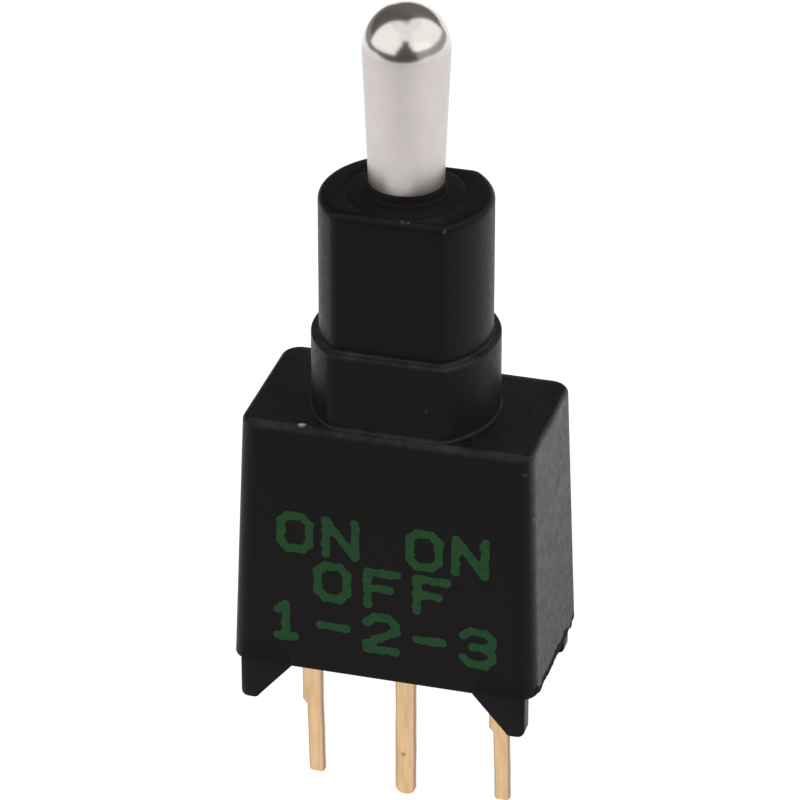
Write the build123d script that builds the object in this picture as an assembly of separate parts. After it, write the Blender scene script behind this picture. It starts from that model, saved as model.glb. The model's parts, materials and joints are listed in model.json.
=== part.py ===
from build123d import *

import os
from math import cos, radians, sin, sqrt, tan

# Ultraminiature toggle switch for a printed circuit board: one pole, three positions, on-off-on.
# Millimetres and degrees. +Z runs up the lever, X runs along the row of terminals, -Y is the front.
# The origin is the middle of the terminal row on the board's surface, where the four feet stand.

# ---------------------------------------------------------------- housing, outside
feet_height = 1.1            # board surface to the rim of the housing
body_height = 6.93           # rim to the top face
body_length = 7.6            # along X, at the top face
body_depth = 4.26            # along Y, at the top face
body_draft = 1.9             # each wall leans out towards the rim
body_corner_radius = 0.5
body_top_bevel = 0.14
body_wall = 0.5
top_wall = 0.5

collar_radius = 2.4
collar_height = 2.09
collar_setback = 0.235       # the collar's flats stand this far inside the body's long edges
collar_base_bevel = 0.1      # the small fillet round its foot, drawn as a bevel
bushing_height = 5.94        # top face of the body to the top of the bushing
bushing_step = 0.2           # the bushing is this much smaller than the collar, all round
step_bevel = 0.07
bushing_top_bevel = 0.15
edge_share = 0.7             # the most of its ledge that a bevel takes up

foot_side_setback = 0.25     # foot to the side of the housing
foot_face_setback = 0.02     # foot to the front or back of the housing
foot_tip_width = 0.42
foot_slope_run = 0.95
foot_tip_round = 0.16

# ---------------------------------------------------------------- lever and its ball joint
lever_tilt = 12.0            # each way from upright
lever_height = 5.03          # top of the bushing to the top of the dome
lever_tip_radius = 1.1
lever_waist_radius = 0.935   # where the lever leaves the bushing
pivot_depth = 2.0            # top of the bushing to the ball's centre
ball_radius = 1.2
ball_clearance = 0.03
swing_clearance = 0.06       # free space beside whatever swings with the lever
seat_height = 0.7            # ball's centre to the edge of its seat
socket_skirt = 0.45          # ball's centre to the bottom of its guide
seat_cone_height = 0.3
swing_room_cover = 0.26      # top of the collar to the top of the wider room inside it
neck_radius = 0.7
neck_height = 1.08           # ball's centre to the flange under the seal
flange_radius = 0.88
flange_thickness = 0.12
skirt_radius = 0.8
skirt_length = 3.4           # ball's centre to the lower end
lever_bore_radius = 0.55
lever_bore_top = 0.5         # ball's centre to the blind end of the bore

seal_cord_radius = 0.17
seal_cord_sides = 6          # the round cord is drawn with this many flats
seal_groove_play = 0.04

pivot_pin_radius = 0.25
pivot_pin_half_length = 1.4
pivot_pin_chamfer = 0.05
pivot_pin_fit = 0.005        # pin in the ball
pivot_slot_clearance = 0.03  # pin in the housing's two keyways

# ---------------------------------------------------------------- plunger and spring
plunger_clearance = 0.03
plunger_guide_length = 1.9   # held inside the lever's bore
plunger_nose_radius = 0.35
plunger_nose_length = 0.9
plunger_cone_length = 0.4
spigot_radius = 0.22
spigot_height = 0.3
plunger_gap = 0.02           # nose to the rocker at rest
spring_wire_radius = 0.06
spring_radius = 0.4          # to the middle of the wire
spring_turns = 3.5
spring_wire_sides = 6        # the round wire is drawn with this many flats

# ---------------------------------------------------------------- rocker and contacts
rocker_tilt = 6.5            # each way from level
rocker_thickness = 0.2
rocker_width = 1.5
rocker_crest = 1.4           # half the span of the dish
rocker_dish_radius = 3.3
rocker_shoulder_run = 0.5    # crest to the flat arm
rocker_overhang = 0.42       # contact centre to the end of the arm
trunnion_radius = 0.11
trunnion_clearance = 0.03
trunnion_overhang = 0.04     # past the outer face of the cradle's ear
contact_radius = 0.32
contact_height = 0.15
contact_bevel = 0.05
open_contact_clearance = 0.01

# ---------------------------------------------------------------- terminals, base and seal
terminal_pitch = 2.54
end_pin_length = 3.57        # below the board's surface
common_pin_length = 3.86
pin_thickness = 0.22
end_pin_width = 0.42
common_pin_width = 0.54
pin_shoulder_width = 0.54
pin_shoulder_drop = 1.35     # the wide part of an end pin ends this far below the board's surface
pin_shoulder_taper = 0.15
end_tip_round = 0.1
common_tip_round = 0.24
pin_lean = 0.05              # each end pin leans this much along X at its tip
terminal_head = 0.9          # length and breadth of an end terminal's head
head_thickness = 0.22
cradle_gap = 0.06            # rocker to each ear of its cradle
ear_thickness = 0.2
ear_width = 0.62
ear_rise = 0.14              # above the rocker's axis

base_clearance = 0.04
base_bottom = 0.35           # rim to the underside of the base
base_height = 2.65
base_edge = 0.1
inner_corner_radius = 0.2
slot_clearance = 0.02
seal_recess = 0.07           # rim to the surface of the epoxy

overshoot = 0.5              # how far a cut runs past the face that it opens

# ---------------------------------------------------------------- levels and derived sizes
rim_z = feet_height
body_top_z = rim_z + body_height
ceiling_z = body_top_z - top_wall
collar_top_z = body_top_z + collar_height
bushing_top_z = body_top_z + bushing_height
pivot_z = bushing_top_z - pivot_depth
lever_top_z = bushing_top_z + lever_height

collar_half_flat = body_depth / 2 - collar_setback
bushing_radius = collar_radius - bushing_step
bushing_half_flat = collar_half_flat - bushing_step

tilt = radians(lever_tilt)
mouth_radius = lever_waist_radius / cos(tilt) + pivot_depth * tan(tilt) + swing_clearance
swing_radius = skirt_radius * cos(tilt) + skirt_length * sin(tilt) + swing_clearance
socket_radius = ball_radius + ball_clearance
pivot_slot_half_width = pivot_pin_radius + pivot_slot_clearance
pivot_slot_half_length = pivot_pin_half_length + swing_clearance

seal_floor = neck_height + flange_thickness            # above the ball's centre
seal_groove_width = 2 * seal_cord_radius + seal_groove_play

base_bottom_z = rim_z + base_bottom
base_top_z = base_bottom_z + base_height
head_top_z = base_top_z + head_thickness
contact_edge = terminal_pitch + contact_radius - contact_bevel
contact_gap = contact_edge * sin(radians(rocker_tilt)) + open_contact_clearance
rocker_bottom_z = head_top_z + 2 * contact_height + contact_gap
rocker_axis_z = rocker_bottom_z + rocker_thickness / 2
rocker_top_z = rocker_bottom_z + rocker_thickness

plunger_tip_z = rocker_top_z + plunger_gap
plunger_radius = lever_bore_radius - plunger_clearance
plunger_top_z = pivot_z - skirt_length + plunger_guide_length
spring_top_z = pivot_z - lever_bore_top

ball_joint = Location((0, 0, pivot_z))


# ---------------------------------------------------------------- shared forms
def body_half_size(z, inset=0.0):
    """Half the housing's length and depth at a level, less an inset."""
    spread = (body_top_z - z) * tan(radians(body_draft)) - inset
    return body_length / 2 + spread, body_depth / 2 + spread


def drafted_block(low_z, high_z, inset, corner_radius):
    """A block that follows the housing's leaning walls between two levels."""
    sections = []
    for z in (low_z, high_z):
        half_length, half_depth = body_half_size(z, inset)
        outline = RectangleRounded(2 * half_length, 2 * half_depth, corner_radius)
        sections.append(Pos(0, 0, z) * outline)
    return loft(sections, ruled=True)


def double_d(radius, half_flat, low_z, high_z):
    """A round boss with a flat at the front and at the back."""
    section = Circle(radius) & Rectangle(2 * radius, 2 * half_flat)
    return extrude(Pos(0, 0, low_z) * section, amount=high_z - low_z)


def revolved(edges):
    """A turned solid from a closed half profile of (radius, z) points."""
    return revolve(Plane.XZ * make_face(edges), axis=Axis.Z)


def edges_at(solid, z):
    """The edges that lie wholly at one level."""
    return solid.edges().filter_by_position(Axis.Z, z - 0.001, z + 0.001)


# ---------------------------------------------------------------- housing
def foot_profile():
    """The front foot on the +X side, seen from the front: a fin with a sloping inner edge."""
    outer_x = body_half_size(rim_z)[0] - foot_side_setback
    inner_x = outer_x - foot_tip_width
    buried_z = rim_z + top_wall
    corners = [
        (outer_x, buried_z),
        (outer_x, 0),
        (inner_x, 0),
        (inner_x - foot_slope_run, rim_z),
        (inner_x - foot_slope_run, buried_z),
    ]
    profile = make_face(Polyline(*corners, close=True))
    tips = [corner for corner in profile.vertices() if abs(corner.Y) < 0.001]
    return fillet(tips, foot_tip_round)


def feet():
    """Four fins that carry the front and back walls on, rounded at the corners as they are."""
    half_length, half_depth = body_half_size(rim_z, foot_face_setback)
    fin = extrude(Plane.XZ * foot_profile(), amount=-body_wall)
    fin = Pos(0, -half_depth, 0) * fin
    front = fin + fin.mirror(Plane.YZ)
    outline = RectangleRounded(2 * half_length, 2 * half_depth, body_corner_radius)
    return (front + front.mirror(Plane.XZ)) & extrude(outline, amount=rim_z + top_wall)


def outer_shell():
    """The solid outside of the moulding: body, collar, bushing and feet."""
    body = drafted_block(rim_z, body_top_z, 0, body_corner_radius)
    body = chamfer(edges_at(body, body_top_z), body_top_bevel)
    collar = double_d(collar_radius, collar_half_flat, ceiling_z, collar_top_z)
    bushing = double_d(bushing_radius, bushing_half_flat, ceiling_z, bushing_top_z)
    shell = body + collar + bushing

    ledge = collar_setback - body_top_bevel
    shell = chamfer(collar_edges(shell, body_top_z), min(collar_base_bevel, edge_share * ledge))
    shell = chamfer(collar_edges(shell, collar_top_z), step_bevel)
    lip = bushing_half_flat - mouth_radius
    shell = chamfer(edges_at(shell, bushing_top_z), min(bushing_top_bevel, edge_share * lip))
    return shell + feet()


def collar_edges(shell, z):
    """The edges of the collar's double-D outline at one level."""
    found = []
    for edge in edges_at(shell, z):
        middle = edge @ 0.5
        on_arc = abs(sqrt(middle.X ** 2 + middle.Y ** 2) - collar_radius) < 0.001
        on_flat = abs(abs(middle.Y) - collar_half_flat) < 0.001
        if on_arc or on_flat:
            found.append(edge)
    return found


def lever_well():
    """The turned space for the lever: mouth, seat, ball guide and swinging room."""
    seat_radius = sqrt(socket_radius ** 2 - seat_height ** 2)
    cone_top = seat_height + seat_cone_height
    guide_z = pivot_z - socket_skirt
    swing_top_z = collar_top_z - swing_room_cover
    above = bushing_top_z + overshoot
    below = ceiling_z - overshoot
    profile = [
        Line((0, above), (mouth_radius, above)),
        Line((mouth_radius, above), (mouth_radius, pivot_z + cone_top)),
        Line((mouth_radius, pivot_z + cone_top), (seat_radius, pivot_z + seat_height)),
        RadiusArc((seat_radius, pivot_z + seat_height), (socket_radius, pivot_z),
                  socket_radius),
        Line((socket_radius, pivot_z), (socket_radius, guide_z)),
        Line((socket_radius, guide_z), (mouth_radius, guide_z)),
        Line((mouth_radius, guide_z), (mouth_radius, swing_top_z)),
        Line((mouth_radius, swing_top_z), (swing_radius, swing_top_z)),
        Line((swing_radius, swing_top_z), (swing_radius, below)),
        Line((swing_radius, below), (0, below)),
        Line((0, below), (0, above)),
    ]
    return revolved(profile)


def keyways():
    """The slot that holds the ends of the pivot pin and lets it in from below."""
    height = socket_skirt + pivot_slot_half_width
    slot = Pos(0, 0, pivot_z - height / 2) * Box(
        2 * pivot_slot_half_width, 2 * pivot_slot_half_length, height)
    crown = ball_joint * Rot(90, 0, 0) * Cylinder(pivot_slot_half_width, 2 * pivot_slot_half_length)
    return slot + crown


def make_housing():
    cavity = drafted_block(0, ceiling_z, body_wall, inner_corner_radius)
    return outer_shell() - cavity - lever_well() - keyways()


# ---------------------------------------------------------------- base, seal and terminals
def pin_prism(width, low_z, high_z, clearance):
    return Pos(0, 0, (low_z + high_z) / 2) * Box(
        width + 2 * clearance, pin_thickness + 2 * clearance, high_z - low_z)


def terminal_places():
    """Each pin's place along X with its width where it passes through the base."""
    return ((-terminal_pitch, pin_shoulder_width), (0, common_pin_width),
            (terminal_pitch, pin_shoulder_width))


def make_base():
    block = drafted_block(base_bottom_z, base_top_z, body_wall + base_clearance,
                          inner_corner_radius)
    block = chamfer(edges_at(block, base_top_z), base_edge)
    for x, width in terminal_places():
        slot = pin_prism(width, base_bottom_z - overshoot, base_top_z + overshoot, slot_clearance)
        block -= Pos(x, 0, 0) * slot
    return block


def make_terminal_seal():
    fill = drafted_block(rim_z + seal_recess, base_bottom_z, body_wall, inner_corner_radius)
    for x, width in terminal_places():
        fill -= Pos(x, 0, 0) * pin_prism(width, rim_z - overshoot, base_bottom_z + overshoot, 0)
    return fill


def flat_pin(corners, tip_round):
    """A pin stamped from sheet, given as (x, z) corners, with its lower corners rounded."""
    profile = make_face(Polyline(*corners, close=True))
    tip_z = min(z for x, z in corners)
    tips = [corner for corner in profile.vertices() if abs(corner.Y - tip_z) < 0.001]
    return extrude(Plane.XZ * fillet(tips, tip_round), amount=pin_thickness / 2, both=True)


def end_pin():
    """A flat pin that steps in on one side at its shoulder; below that it leans along X."""
    half_shank = pin_shoulder_width / 2
    step_x = half_shank - end_pin_width
    shoulder_z = -pin_shoulder_drop
    tip_z = -end_pin_length
    corners = [
        (-half_shank, base_top_z),
        (-half_shank, shoulder_z),
        (step_x, shoulder_z - pin_shoulder_taper),
        (step_x + pin_lean, tip_z),
        (half_shank + pin_lean, tip_z),
        (half_shank, shoulder_z),
        (half_shank, base_top_z),
    ]
    return flat_pin(corners, end_tip_round)


def make_end_terminal(side):
    head = Pos(0, 0, base_top_z + head_thickness / 2) * Box(
        terminal_head, terminal_head, head_thickness)
    return Pos(side * terminal_pitch, 0, 0) * (end_pin() + head)


def make_common_terminal():
    """The middle pin, with the cradle that carries the rocker formed from its head."""
    half_width = common_pin_width / 2
    corners = [
        (-half_width, base_top_z),
        (-half_width, -common_pin_length),
        (half_width, -common_pin_length),
        (half_width, base_top_z),
    ]
    blade = flat_pin(corners, common_tip_round)

    inner_y = rocker_width / 2 + cradle_gap
    ear_top_z = rocker_axis_z + ear_rise
    plate = Pos(0, 0, base_top_z + head_thickness / 2) * Box(
        terminal_head, 2 * (inner_y + ear_thickness), head_thickness)
    ear_height = ear_top_z - base_top_z
    ear = Pos(0, inner_y + ear_thickness / 2, base_top_z + ear_height / 2) * Box(
        ear_width, ear_thickness, ear_height)
    ears = ear + ear.mirror(Plane.XZ)
    notch_radius = trunnion_radius + trunnion_clearance
    notch_length = 2 * (inner_y + ear_thickness + overshoot)
    notch = Pos(0, 0, rocker_axis_z) * Rot(90, 0, 0) * Cylinder(notch_radius, notch_length)
    notch += Pos(0, 0, rocker_axis_z + ear_rise) * Box(
        2 * notch_radius, notch_length, 2 * ear_rise)
    return blade + plate + (ears - notch)


def contact_button(x, seat_z, direction):
    """A bevelled contact button on its seat, facing up (1) or down (-1)."""
    corners = [
        (0, 0),
        (contact_radius, 0),
        (contact_radius, contact_height - contact_bevel),
        (contact_radius - contact_bevel, contact_height),
        (0, contact_height),
    ]
    button = revolved(Polyline(*corners, close=True))
    if direction < 0:
        button = Rot(180, 0, 0) * button
    return Pos(x, 0, seat_z) * button


# ---------------------------------------------------------------- rocker
def make_rocker():
    """A stamped strip: a dish for the plunger between two flat contact arms, and two trunnions."""
    crest_rise = rocker_dish_radius - sqrt(rocker_dish_radius ** 2 - rocker_crest ** 2)
    arm_start = rocker_crest + rocker_shoulder_run
    arm_end = terminal_pitch + rocker_overhang

    def strip_line(z):
        return [
            Line((-arm_end, z), (-arm_start, z)),
            Line((-arm_start, z), (-rocker_crest, z + crest_rise)),
            ThreePointArc((-rocker_crest, z + crest_rise), (0, z), (rocker_crest, z + crest_rise)),
            Line((rocker_crest, z + crest_rise), (arm_start, z)),
            Line((arm_start, z), (arm_end, z)),
        ]

    ends = [Line((x, rocker_bottom_z), (x, rocker_top_z)) for x in (-arm_end, arm_end)]
    outline = make_face(strip_line(rocker_bottom_z) + strip_line(rocker_top_z) + ends)
    strip = extrude(Plane.XZ * outline, amount=rocker_width / 2, both=True)
    trunnion_length = cradle_gap + ear_thickness + trunnion_overhang
    trunnion = Pos(0, (rocker_width + trunnion_length) / 2, rocker_axis_z) * Rot(
        90, 0, 0) * Cylinder(trunnion_radius, trunnion_length)
    return strip + trunnion + trunnion.mirror(Plane.XZ)


# ---------------------------------------------------------------- lever
def ball_height(radius):
    """Height above the ball's centre at which the ball has this radius."""
    return sqrt(ball_radius ** 2 - radius ** 2)


def lever_radius(z):
    """The lever's radius above the seal: it widens evenly from the bushing to the dome."""
    dome_z = lever_top_z - lever_tip_radius
    share = (z - bushing_top_z) / (dome_z - bushing_top_z)
    return lever_waist_radius + share * (lever_tip_radius - lever_waist_radius)


def make_lever():
    dome_z = lever_top_z - lever_tip_radius
    seal_floor_z = pivot_z + seal_floor
    seal_roof_z = seal_floor_z + seal_groove_width
    flange_z = pivot_z + neck_height
    neck_z = pivot_z + ball_height(neck_radius)
    skirt_z = pivot_z - ball_height(skirt_radius)
    bottom_z = pivot_z - skirt_length
    corners = [
        (neck_radius, neck_z),
        (neck_radius, flange_z),
        (flange_radius, flange_z),
        (flange_radius, seal_floor_z),
        (neck_radius, seal_floor_z),
        (neck_radius, seal_roof_z),
        (lever_radius(seal_roof_z), seal_roof_z),
        (lever_tip_radius, dome_z),
    ]
    profile = [
        Line((lever_bore_radius, bottom_z), (skirt_radius, bottom_z)),
        Line((skirt_radius, bottom_z), (skirt_radius, skirt_z)),
        ThreePointArc((skirt_radius, skirt_z), (ball_radius, pivot_z),
                      (neck_radius, neck_z)),
        Polyline(*corners),
        RadiusArc((lever_tip_radius, dome_z), (0, lever_top_z), -lever_tip_radius),
        Line((0, lever_top_z), (0, spring_top_z)),
        Line((0, spring_top_z), (lever_bore_radius, spring_top_z)),
        Line((lever_bore_radius, spring_top_z), (lever_bore_radius, bottom_z)),
    ]
    cross_hole = ball_joint * Rot(90, 0, 0) * Cylinder(
        pivot_pin_radius + pivot_pin_fit, 2 * (ball_radius + overshoot))
    return revolved(profile) - cross_hole


def make_pivot_pin():
    pin = Cylinder(pivot_pin_radius, 2 * pivot_pin_half_length)
    pin = chamfer(pin.edges().filter_by(GeomType.CIRCLE), pivot_pin_chamfer)
    return ball_joint * Rot(90, 0, 0) * pin


def make_lever_seal():
    middle_z = pivot_z + seal_floor + seal_groove_width / 2
    cord = RegularPolygon(seal_cord_radius, seal_cord_sides)
    section = Plane.XZ * Pos(neck_radius + seal_cord_radius, middle_z) * cord
    return revolve(section, axis=Axis.Z)


# ---------------------------------------------------------------- plunger and spring
def make_plunger():
    nose_z = plunger_tip_z + plunger_nose_radius
    cone_z = plunger_tip_z + plunger_nose_length
    guide_z = cone_z + plunger_cone_length
    corners = [
        (plunger_nose_radius, nose_z),
        (plunger_nose_radius, cone_z),
        (plunger_radius, guide_z),
        (plunger_radius, plunger_top_z),
        (spigot_radius, plunger_top_z),
        (spigot_radius, plunger_top_z + spigot_height),
        (0, plunger_top_z + spigot_height),
        (0, plunger_tip_z),
    ]
    nose = RadiusArc((0, plunger_tip_z), (plunger_nose_radius, nose_z),
                     -plunger_nose_radius)
    return revolved([nose, Polyline(*corners)])


def make_plunger_spring():
    low_z = plunger_top_z + spring_wire_radius
    length = spring_top_z - plunger_top_z - 2 * spring_wire_radius
    path = Pos(0, 0, low_z) * Helix(length / spring_turns, length, spring_radius)
    section = Plane(origin=path @ 0, z_dir=path % 0) * RegularPolygon(
        spring_wire_radius, spring_wire_sides)
    return sweep(section, path=path, is_frenet=True)


# ---------------------------------------------------------------- the finished set of pieces
def make_parts():
    parts = {
        "housing": make_housing(),
        "base": make_base(),
        "terminal_seal": make_terminal_seal(),
        "terminal_common": make_common_terminal(),
        "rocker": make_rocker(),
        "lever": make_lever(),
        "pivot_pin": make_pivot_pin(),
        "lever_seal": make_lever_seal(),
        "plunger": make_plunger(),
        "plunger_spring": make_plunger_spring(),
    }
    for name, side in (("left", -1), ("right", 1)):
        x = side * terminal_pitch
        parts["terminal_" + name] = make_end_terminal(side)
        parts["contact_" + name] = contact_button(x, head_top_z, 1)
        parts["rocker_contact_" + name] = contact_button(x, rocker_bottom_z, -1)
    return parts


def main():
    os.makedirs("parts", exist_ok=True)
    for node, shape in make_parts().items():
        export_step(shape, os.path.join("parts", node + ".step"))


if __name__ == "__main__":
    main()
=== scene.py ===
import json
import random
from math import atan2, cos, degrees, hypot, pi, radians, sin, sqrt, tan

import bmesh
import bpy
from mathutils import Matrix, Vector


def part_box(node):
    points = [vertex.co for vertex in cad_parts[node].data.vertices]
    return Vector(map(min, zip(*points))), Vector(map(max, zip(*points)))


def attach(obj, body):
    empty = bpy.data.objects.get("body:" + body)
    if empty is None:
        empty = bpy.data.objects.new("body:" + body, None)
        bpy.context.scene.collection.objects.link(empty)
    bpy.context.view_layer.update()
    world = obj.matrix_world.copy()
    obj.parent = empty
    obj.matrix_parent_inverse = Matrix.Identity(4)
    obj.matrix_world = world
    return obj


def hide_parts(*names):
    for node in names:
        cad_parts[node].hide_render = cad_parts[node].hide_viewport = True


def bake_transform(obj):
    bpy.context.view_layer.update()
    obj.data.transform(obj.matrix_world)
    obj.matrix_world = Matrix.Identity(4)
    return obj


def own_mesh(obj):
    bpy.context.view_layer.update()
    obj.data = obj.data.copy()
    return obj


# The look of a small toggle switch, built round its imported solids.
# Forms are drawn in millimetres in the part's own frame and turned to metres by piece().
# +Z runs up the lever, X along the row of pins, -Y is the marked front.
MM = 0.001

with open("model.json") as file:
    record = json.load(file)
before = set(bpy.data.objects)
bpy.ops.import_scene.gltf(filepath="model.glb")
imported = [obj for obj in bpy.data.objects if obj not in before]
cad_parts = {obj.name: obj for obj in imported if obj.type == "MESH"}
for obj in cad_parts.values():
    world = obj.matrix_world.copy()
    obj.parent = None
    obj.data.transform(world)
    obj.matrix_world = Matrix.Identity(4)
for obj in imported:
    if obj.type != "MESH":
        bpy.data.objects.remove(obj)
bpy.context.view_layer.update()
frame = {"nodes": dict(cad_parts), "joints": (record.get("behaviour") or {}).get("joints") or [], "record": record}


# ---------------------------------------------------------------- sizes
def box_mm(node):
    low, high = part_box(node)
    return low / MM, high / MM


def joint_height(name):
    joint = next(joint for joint in frame["joints"] if joint["name"] == name)
    return joint["pos_m"][2] / MM


_, housing_high = box_mm("housing")
lever_low, lever_high = box_mm("lever")
seal_low, seal_high = box_mm("lever_seal")
common_low, common_high = box_mm("terminal_common")
end_low, end_high = box_mm("terminal_right")

RIM = 1.1                              # board surface to the rim
BODY_TOP = 8.03
SLOPE = tan(radians(1.9))              # lean of the body's walls
BODY_CORNER = 0.5
BODY_TOP_ROUND = 0.13
WALL = 0.5
CEILING = BODY_TOP - WALL
COLLAR_RADIUS = 2.4
COLLAR_HALF_FLAT = 1.895
COLLAR_TOP = 10.12
BUSHING_RADIUS = 2.2
BUSHING_HALF_FLAT = 1.695
BUSHING_TOP = housing_high.z
BUSHING_TOP_ROUND = 0.2
FLAT_CORNER = 0.4                      # softened corner between a flat and the round side
PIVOT = joint_height("lever_tilt")
ROCKER_AXIS = joint_height("rocker_tilt")
BALL_RADIUS = lever_high.x
LEVER_TOP = lever_high.z
LEVER_BOTTOM = lever_low.z


# ---------------------------------------------------------------- points
def spread(start, end, steps):
    """Evenly spaced numbers from the start to the end, both included."""
    return [start + (end - start) * i / steps for i in range(steps + 1)]


def arc(centre_r, centre_z, radius, start, end, steps):
    """Points (r, z) along an arc in a half profile; angles in degrees from +r towards +z."""
    return [(centre_r + radius * cos(radians(t)), centre_z + radius * sin(radians(t)))
            for t in spread(start, end, steps)]


def line(start, end, steps):
    """Evenly spaced points after the start, up to the end."""
    return [tuple(a + (b - a) * i / steps for a, b in zip(start, end))
            for i in range(1, steps + 1)]


# ---------------------------------------------------------------- mesh tools
def mesh_object(name, points, faces):
    mesh = bpy.data.meshes.new(name)
    mesh.from_pydata(points, [], faces)
    obj = bpy.data.objects.new(name, mesh)
    bpy.context.scene.collection.objects.link(obj)
    return obj


def outward(obj):
    """Turns all faces of a closed mesh outwards."""
    bm = bmesh.new()
    bm.from_mesh(obj.data)
    bmesh.ops.recalc_face_normals(bm, faces=bm.faces)
    bm.to_mesh(obj.data)
    bm.free()
    return obj


def skinned(name, loops, capped=False):
    """A closed skin over loops of equal length: capped at both ends, or joined end to end."""
    count = len(loops[0])
    points = [point for loop in loops for point in loop]
    starts = list(range(0, len(points), count))
    bands = list(zip(starts, starts[1:]))
    faces = []
    if capped:
        faces += [tuple(range(count)), tuple(range(len(points) - 1, starts[-1] - 1, -1))]
    else:
        bands.append((starts[-1], 0))
    for a, b in bands:
        for i in range(count):
            j = (i + 1) % count
            faces.append((a + i, a + j, b + j, b + i))
    return outward(mesh_object(name, points, faces))


def prism(name, outline, low_y, high_y):
    """A straight solid between two planes across Y, from an outline of (x, z) points."""
    return skinned(name, [[(x, y, z) for x, z in outline] for y in (low_y, high_y)], capped=True)


def turned(name, profile, segments):
    """A solid of revolution round Z from a closed (r, z) profile, merged on the axis."""
    on_axis = 1e-6
    points, loops = [], []
    for r, z in profile:
        if r < on_axis:
            points.append((0, 0, z))
            loops.append([len(points) - 1] * segments)
        else:
            first = len(points)
            for i in range(segments):
                t = 2 * pi * i / segments
                points.append((r * cos(t), r * sin(t), z))
            loops.append(list(range(first, first + segments)))
    faces = []
    for a, b in zip(loops, loops[1:] + loops[:1]):
        for i in range(segments):
            j = (i + 1) % segments
            corners = [a[i], a[j], b[j], b[i]]
            corners = [c for k, c in enumerate(corners) if c != corners[k - 1]]
            if len(corners) > 2:
                faces.append(corners)
    return outward(mesh_object(name, points, faces))


def applied(obj):
    """Puts what the modifiers make into the object's own mesh."""
    bpy.context.view_layer.update()
    depsgraph = bpy.context.evaluated_depsgraph_get()
    mesh = bpy.data.meshes.new_from_object(obj.evaluated_get(depsgraph))
    obj.modifiers.clear()
    obj.data = mesh
    return obj


def bevelled(obj, width, segments, angle):
    """Rounds the edges whose faces turn by more than the angle."""
    bevel = obj.modifiers.new("bevel", "BEVEL")
    bevel.width = width
    bevel.segments = segments
    bevel.limit_method = "ANGLE"
    bevel.angle_limit = radians(angle)
    return applied(obj)


def combined(obj, tool, operation):
    """Joins a second closed solid to the object, or cuts it away."""
    boolean = obj.modifiers.new("boolean", "BOOLEAN")
    boolean.operation = operation
    boolean.solver = "EXACT"
    boolean.object = tool
    applied(obj)
    bpy.data.objects.remove(tool)
    return obj


def smooth(obj, angle):
    """Smooth shading with edges kept where the faces turn by more than the angle."""
    for polygon in obj.data.polygons:
        polygon.use_smooth = True
    obj.data.set_sharp_from_angle(angle=radians(angle))


def piece(obj, body, material, slot, *nodes, angle=35):
    """Brings a finished form to metres and hangs it on its body."""
    obj.data.transform(Matrix.Scale(MM, 4))
    smooth(obj, angle)
    obj.data.materials.clear()
    obj.data.materials.append(material)
    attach(obj, body)
    if nodes:
        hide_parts(*nodes)
    return obj


# ---------------------------------------------------------------- sections of the housing
CORNER_STEPS = 10
LONG_STEPS = 44
SHORT_STEPS = 40
LEAST_CORNER = 0.12


def quarter_loop(centre, radius, start, end, z, side=0.0, crown=0.0):
    """A loop that is alike in all four quarters: corner arcs, two sides and two long faces.

    The corner arc runs from start to end degrees round its centre. A side or long face is straight,
    or lies on a circle round Z where side or crown gives a radius."""
    corner = arc(*centre, radius, start, end, CORNER_STEPS)
    (side_x, side_y), (top_x, top_y) = corner[0], corner[-1]
    if side:
        reach = atan2(side_y, side_x)
        right = [(side * cos(t), side * sin(t)) for t in spread(-reach, reach, SHORT_STEPS)]
    else:
        right = [(side_x, y) for y in spread(-side_y, side_y, SHORT_STEPS)]
    if crown:
        reach = atan2(top_y, top_x)
        top = [(crown * cos(t), crown * sin(t)) for t in spread(reach, pi - reach, LONG_STEPS)]
    else:
        top = [(x, top_y) for x in spread(top_x, -top_x, LONG_STEPS)]
    half = right[:-1] + corner[:-1] + top[:-1] + [(-x, y) for x, y in reversed(corner)][:-1]
    return [(x, y, z) for x, y in half] + [(-x, -y, z) for x, y in half]


def block(inset, z):
    """The housing's rounded oblong at a level, drawn in by an inset."""
    drawn_in = (z - RIM) * SLOPE + inset
    corner = max(BODY_CORNER - inset, LEAST_CORNER)
    centre = (housing_high.x - drawn_in - corner, housing_high.y - drawn_in - corner)
    return quarter_loop(centre, corner, 0, 90, z)


def double_d(radius, half_flat, z, inset):
    """The collar's and bushing's outline: round sides, flat front and back, softened corners."""
    y = half_flat - FLAT_CORNER
    x = sqrt((radius - FLAT_CORNER) ** 2 - y ** 2)
    return quarter_loop((x, y), FLAT_CORNER - inset, degrees(atan2(y, x)), 90, z,
                        side=radius - inset)


def circle(radius, z):
    """A circle with as many points; any stretch of it will do for the corner."""
    return quarter_loop((0, 0), radius, 40, 62, z, side=radius, crown=radius)


# ---------------------------------------------------------------- housing
MOUTH_RADIUS = 1.441
MOUTH_ROUND = 0.02
SOCKET_RADIUS = BALL_RADIUS + 0.03
SEAT_HEIGHT = 0.7
SEAT_CONE = 0.3
SOCKET_SKIRT = 0.45
SWING_RADIUS = 1.55
SWING_TOP = COLLAR_TOP - 0.26


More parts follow.
